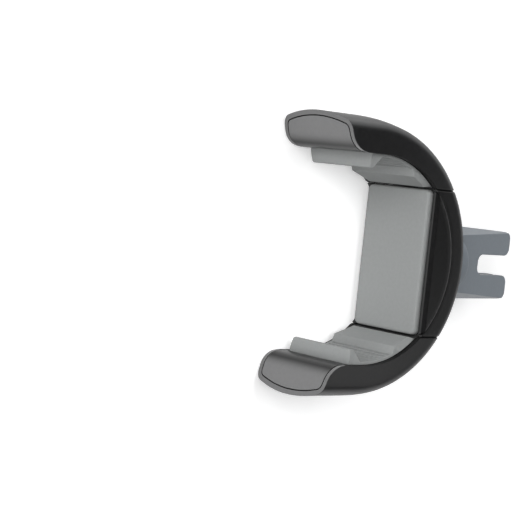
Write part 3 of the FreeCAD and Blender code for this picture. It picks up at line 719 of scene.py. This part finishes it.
def round_rim(piece, radius, outer_points):
    """Round a piece's sharp edges by a radius in millimetres, less on its inner skin."""
    work = bmesh.new()
    work.from_mesh(piece.data)
    weight = work.edges.layers.float.new("bevel_weight_edge")
    for edge in work.edges:
        if edge.calc_face_angle(0.0) > math.radians(rim_degrees):
            outer = all(vertex.index < outer_points for vertex in edge.verts)
            edge[weight] = 1.0 if outer else inner_round_share
    work.to_mesh(piece.data)
    work.free()
    bevel = piece.modifiers.new("round_rim", "BEVEL")
    bevel.width = radius * MM
    bevel.segments = 3
    bevel.limit_method = "WEIGHT"
    bevel.harden_normals = True


for arm, turn_points in (("right", list), ("left", half_turned)):
    shell = make_piece(
        "shell_" + arm,
        turn_points(shell_points),
        shell_faces,
        "arm_black",
        "arm_" + arm,
        "arm_shell_" + arm,
    )
    shell.data.materials.append(finishes["frame_black"])
    shell.data.materials.append(finishes["parting_black"])
    polygons = list(shell.data.polygons)
    for polygon in polygons[rim_start:rim_end]:
        polygon.material_index = 1
    for polygon in polygons[rim_end:]:
        polygon.material_index = 2
    round_rim(shell, rim_round, last)
print("rims rounded by", rim_round, "mm,", rim_end - rim_start, "faces of rim on each arm")

# %% [markdown]
# ### Rubber liners
#
# A liner is a moulded rubber strip with a blunt nose near the arm's tip, a row of seven grooves and
# a thick root block beside the seam. Its outline is drawn once in the plane of the arm as a list
# of points, each with its partner on the back of the strip, and then carried across the width.
# Lengths are in millimetres, and each drop is measured from the seam down towards the tip.

# %% Sizes of a liner
liner_half_width = 13.5
liner_proud = 0.8
liner_back = 1.15
wall_radius = inner_radius - liner_proud
back_radius = inner_radius + liner_back
inner_centre = (0.0, inner_axis_y)
seam_level = inner_axis_y + math.sqrt(inner_radius**2 - seam_x**2)

nose_height = 4.25
nose_top_y = inner_axis_y - 4.5
nose_tip_y = inner_axis_y - 3.6
nose_foot_y = inner_axis_y - 0.2
nose_bulge = 0.3
nose_steps = 10
nose_tip_round = 0.8
nose_tip_reach = 1.75
nose_end_draft = 0.9
foot_clearance = 0.02
bow_start_degrees = 1.5

root_x = 22.45
root_top_degrees = 24.0
root_shoulder_x = 25.2
root_shoulder_drop = 8.1
root_shoulder_round = 0.6
root_toe_drop = 1.8
root_toe_round = 0.3
root_toe_height = 1.0
root_chamfer_drop = 9.7
root_end_slope = 0.55
print("liner is", round(back_radius - wall_radius, 2), "mm thick, nose", nose_height, "mm high")

# %% Curves of the outline


def curved(a, b, bulge, steps):
    """Points from a to b on a shallow curve that bows out to the left of its run."""
    points = []
    for step in range(steps + 1):
        share = step / steps
        lift = 4 * bulge * share * (1 - share)
        along = (b[0] - a[0], b[1] - a[1])
        length = math.hypot(*along)
        x = a[0] + along[0] * share - along[1] / length * lift
        y = a[1] + along[1] * share + along[0] / length * lift
        points.append((x, y))
    return points


def rounded_corner(a, b, c, radius, steps=5):
    """Points of a round corner at b between the runs from a and to c."""
    before = (Vector(a) - Vector(b)).normalized()
    after = (Vector(c) - Vector(b)).normalized()
    half = math.acos(max(-1.0, min(1.0, before.dot(after)))) / 2
    centre = Vector(b) + (before + after).normalized() * (radius / math.sin(half))
    start = Vector(b) + before * (radius / math.tan(half)) - centre
    end = Vector(b) + after * (radius / math.tan(half)) - centre
    points = []
    for step in range(steps + 1):
        arm = start.lerp(end, step / steps).normalized() * radius
        points.append(tuple(centre + arm))
    return points


print("middle of a bowed line:", curved((0, 0), (2, 0), 0.5, 2)[1])

# %% [markdown]
# The grooves are cut into the outline as half rounds. Five of them are fine, and the two next to
# the root are as deep as the rubber allows. The same outline is also made with the grooves filled,
# because they stop short of the strip's two edges.

# %% Outline of a liner
groove_degrees = [4.5 + 3.0 * groove for groove in range(7)]
groove_sizes = 5 * ((0.3, 0.3),) + 2 * ((0.38, 0.8),)
groove_steps = 6


def liner_outline(groove_share):
    """The liner's free face from the nose's end to the seam, its grooves cut to a share."""
    tip = (wall_radius - nose_height, nose_tip_y)
    foot = (wall_radius, nose_foot_y)
    flank = curved((wall_radius, nose_top_y), tip, nose_bulge, nose_steps)
    points = [point for point in flank if math.dist(point, tip) > nose_tip_reach]
    points += rounded_corner(flank[-2], tip, foot, nose_tip_round)
    points.append((wall_radius - foot_clearance, nose_foot_y - foot_clearance))
    points.append(on_arc(inner_centre, wall_radius, bow_start_degrees))
    for degrees, (half_width, deep) in zip(groove_degrees, groove_sizes):
        spot = Vector(on_arc(inner_centre, wall_radius, degrees))
        out = Vector(on_arc((0, 0), 1.0, degrees))
        along = Vector((-out.y, out.x))
        for step in range(groove_steps + 1):
            turn = math.pi * (1 - step / groove_steps)
            sunk = out * math.sin(turn) * deep * groove_share
            points.append(tuple(spot + along * math.cos(turn) * half_width + sunk))
    top = on_arc(inner_centre, wall_radius, root_top_degrees)
    shoulder = (root_shoulder_x, seam_level - root_shoulder_drop)
    toe = (root_x, seam_level - root_toe_drop)
    points.append(top)
    points += rounded_corner(top, shoulder, toe, root_shoulder_round)
    points += rounded_corner(shoulder, toe, (root_x, toe[1] + root_toe_height), root_toe_round, 3)
    return points


smooth_outline = liner_outline(0.0)
grooved_outline = liner_outline(1.0)
print("liner outline:", len(grooved_outline), "points")

# %% [markdown]
# Across its width the strip isn't quite straight: the root block is chamfered towards the bay and
# the nose's ends lean inwards. The last quarter of a millimetre at each end is rolled inwards,
# because rubber has no sharp edge.

# %% Width and back of a liner
back_end_drop = 0.8


def liner_half_width_at(point):
    """The root block is chamfered towards the bay, and the nose's ends lean inwards."""
    x, y = point
    if y > seam_level - root_chamfer_drop:
        return liner_half_width - max(0.0, root_shoulder_x - x) * root_end_slope
    height = max(0.0, wall_radius - x)
    if y < nose_foot_y:
        return liner_half_width - nose_end_draft * height / nose_height
    return liner_half_width


def back_point(point):
    """The point of the strip's back that lies behind a point of its free face."""
    x, y = point
    if y <= inner_axis_y:
        return (back_radius, y)
    end = math.degrees(math.acos(root_x / back_radius))
    front_end = math.degrees(math.atan2(seam_level - back_end_drop - inner_axis_y, root_x))
    turn = math.degrees(math.atan2(y - inner_axis_y, x))
    return on_arc(inner_centre, back_radius, min(turn * end / front_end, end))


print("half width at the nose's tip:", liner_half_width_at((wall_radius - nose_height, nose_tip_y)))

# %% Both liners
groove_margin = 0.7
groove_runout = 0.25
roll = 0.25
roll_steps = 3


def liner_points():
    """Rings round the strip; the grooves stop short of its two rolled edges."""
    edge = [(math.pi / 2 * step / roll_steps, 0.0) for step in range(roll_steps, -1, -1)]
    levels = [(turn, inset, smooth_outline) for turn, inset in edge + [(0.0, groove_margin)]]
    levels.append((0.0, groove_margin + groove_runout, grooved_outline))
    sides = [(-1, *level) for level in levels] + [(1, *level) for level in reversed(levels)]
    points = []
    for side, turn, inset, shape in sides:
        for spot, even in zip(shape, smooth_outline):
            thickness = Vector(back_point(even)) - Vector(even)
            inward = thickness.normalized() * roll * (1 - math.cos(turn))
            z = liner_half_width_at(even) - roll + roll * math.sin(turn) - inset
            points.append((spot[0] + inward.x, spot[1] + inward.y, side * z))
        for even in reversed(smooth_outline):
            z = liner_half_width - roll + roll * math.sin(turn) - inset
            points.append((*back_point(even), side * z))
    return points, len(sides)


strip, rings = liner_points()
ring_length = 2 * len(smooth_outline)
strip_faces = grid_faces(rings, ring_length, closed=True)
for start in (0, (rings - 1) * ring_length):
    for index in range(len(smooth_outline) - 1):
        a = start + index
        b = start + ring_length - 1 - index
        strip_faces.append((a, a + 1, b - 1, b))
for arm, turn_points in (("right", list), ("left", half_turned)):
    liner = make_piece(
        "liner_" + arm,
        turn_points(strip),
        strip_faces,
        "rubber_grey",
        "arm_" + arm,
        "grip_liner_" + arm,
        sharp_degrees=75,
    )
    even_normals = liner.modifiers.new("flat_faces_stay_flat", "WEIGHTED_NORMAL")
    even_normals.keep_sharp = True
print("liner faces:", len(strip_faces))

# %% [markdown]
# ### Pad
#
# The pad is one slab of rubber with round corners and a generous round along its front edge, a
# bit tighter on the side that lies on the table. Its front is very slightly arched, as rubber
# mouldings come out, so light doesn't lie flat on it. It is built as rings, one inside the other.

# %% Rings of the pad
pad_half_length = 21.8
pad_half_width = 13.05
pad_back_y = 2.2
pad_corner = 1.7
pad_least_corner = 0.15
pad_edge = 0.7
pad_arch = 0.12
pad_low_extra = 0.15
pad_low_tightness = 0.5
corner_steps = 6
edge_steps = 5
front_insets = (1.6, 3.0, 5.0, 8.0, 11.0)


def pad_ring(inset, y):
    """Rounded rectangle, moved in by an inset, at a depth."""
    radius = max(pad_corner - inset, pad_least_corner)
    points = []
    for quarter, (side_x, side_z) in enumerate(((1, 1), (-1, 1), (-1, -1), (1, -1))):
        low_side = 0.0
        if side_z < 0:
            low_side = pad_low_extra + pad_low_tightness * min(inset, pad_edge)
        centre_x = side_x * (pad_half_length - inset - radius)
        centre_z = side_z * (pad_half_width - inset + low_side - radius)
        for step in range(corner_steps + 1):
            turn = math.radians(90 * quarter + 90 * step / corner_steps)
            x = centre_x + radius * math.cos(turn)
            z = centre_z + radius * math.sin(turn)
            points.append((x, y, z))
    return points


pad_rings = [pad_ring(0.0, pad_back_y), pad_ring(0.0, (pad_back_y + pad_edge) / 2)]
for step in range(edge_steps + 1):
    turn = math.pi / 2 * step / edge_steps
    inset = pad_edge * (1 - math.cos(turn))
    pad_rings.append(pad_ring(inset, pad_arch + pad_edge * (1 - math.sin(turn))))
for inset in front_insets:
    share = 1 - inset / pad_half_width
    pad_rings.append(pad_ring(inset, pad_arch * share**2))
print("pad rings:", len(pad_rings), "of", len(pad_rings[0]), "points")

# %% Pad
pad_points = [point for ring in pad_rings for point in ring]
ring_length = len(pad_rings[0])
pad_faces = grid_faces(len(pad_rings), ring_length, closed=True)
pad_faces.append(tuple(range(ring_length)))
pad_faces.append(tuple(range(len(pad_points) - ring_length, len(pad_points))))
make_piece(
    "pad",
    pad_points,
    pad_faces,
    "rubber_grey",
    "housing",
    "centre_pad",
    sharp_degrees=60,
)
print("pad faces:", len(pad_faces))

# %% [markdown]
# ### Return springs
#
# Each arm is pulled home by a tension spring that lies beside its rack, hooked over a peg on the
# housing and a peg on the slide. It is wound from one round wire, so the middle line of the wire
# comes first and a circle is then carried along it.

# %% Wire of a spring
spring_fixed_x = 4.8
spring_moving_x = 16.9
coil_radius = 0.98
wire_radius = 0.27
wire_sides = 10
coil_turns = 8
points_a_turn = 20
hook_start_degrees = -255
hook_step_degrees = 10
hook_points = 26


def spring_line():
    """Middle of the wire: a hook, the coils, and a hook at the far end."""
    span = spring_moving_x - spring_fixed_x
    coil_start = coil_radius + 2 * wire_radius
    steps = coil_turns * points_a_turn
    coils = []
    for step in range(steps + 1):
        turn = 2 * math.pi * step / points_a_turn
        along = coil_start + (span - 2 * coil_start) * step / steps
        coils.append(Vector((along, coil_radius * math.sin(turn), -coil_radius * math.cos(turn))))
    hook = []
    for step in range(hook_points):
        turn = math.radians(hook_start_degrees + hook_step_degrees * step)
        hook.append(Vector((-coil_radius * math.sin(turn), 0.0, -coil_radius * math.cos(turn))))
    far_hook = [Vector((span - p.x, p.y, p.z)) for p in reversed(hook)]
    return hook + coils + far_hook


def wire_mesh(line, radius, sides):
    """Round wire along a line of points, its section carried along without twisting."""
    points = []
    normal = Vector((0, 1, 0))
    for before, here, after in zip(line[:1] + line[:-1], line, line[1:] + line[-1:]):
        along = (after - before).normalized()
        normal = (normal - along * normal.dot(along)).normalized()
        across = along.cross(normal)
        for corner in range(sides):
            turn = 2 * math.pi * corner / sides
            points.append(here + (normal * math.cos(turn) + across * math.sin(turn)) * radius)
    faces = grid_faces(len(line), sides, closed=True)
    faces.append(tuple(range(sides)))
    faces.append(tuple(range(len(points) - sides, len(points))))
    return points, faces


wire_points, wire_faces = wire_mesh(spring_line(), wire_radius, wire_sides)
print("spring faces:", len(wire_faces))

# %% [markdown]
# When the arm slides out, the wire between the pegs has to stretch, so a spring is put on neither
# body instead of riding on one.

# %% Both springs
spring_y = 5.7
spring_z = -11.2

fixed_peg = Vector((spring_fixed_x, spring_y, spring_z))
placed = [tuple(point + fixed_peg) for point in wire_points]
for arm, turn_points, side in (("right", list, 1), ("left", half_turned, -1)):
    spring = make_piece(
        "spring_" + arm,
        turn_points(placed),
        wire_faces,
        "steel",
        None,
        "return_spring_" + arm,
        sharp_degrees=60,
    )
    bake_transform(spring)
print("pegs", round(spring_moving_x - spring_fixed_x, 1), "mm apart with the arms home")
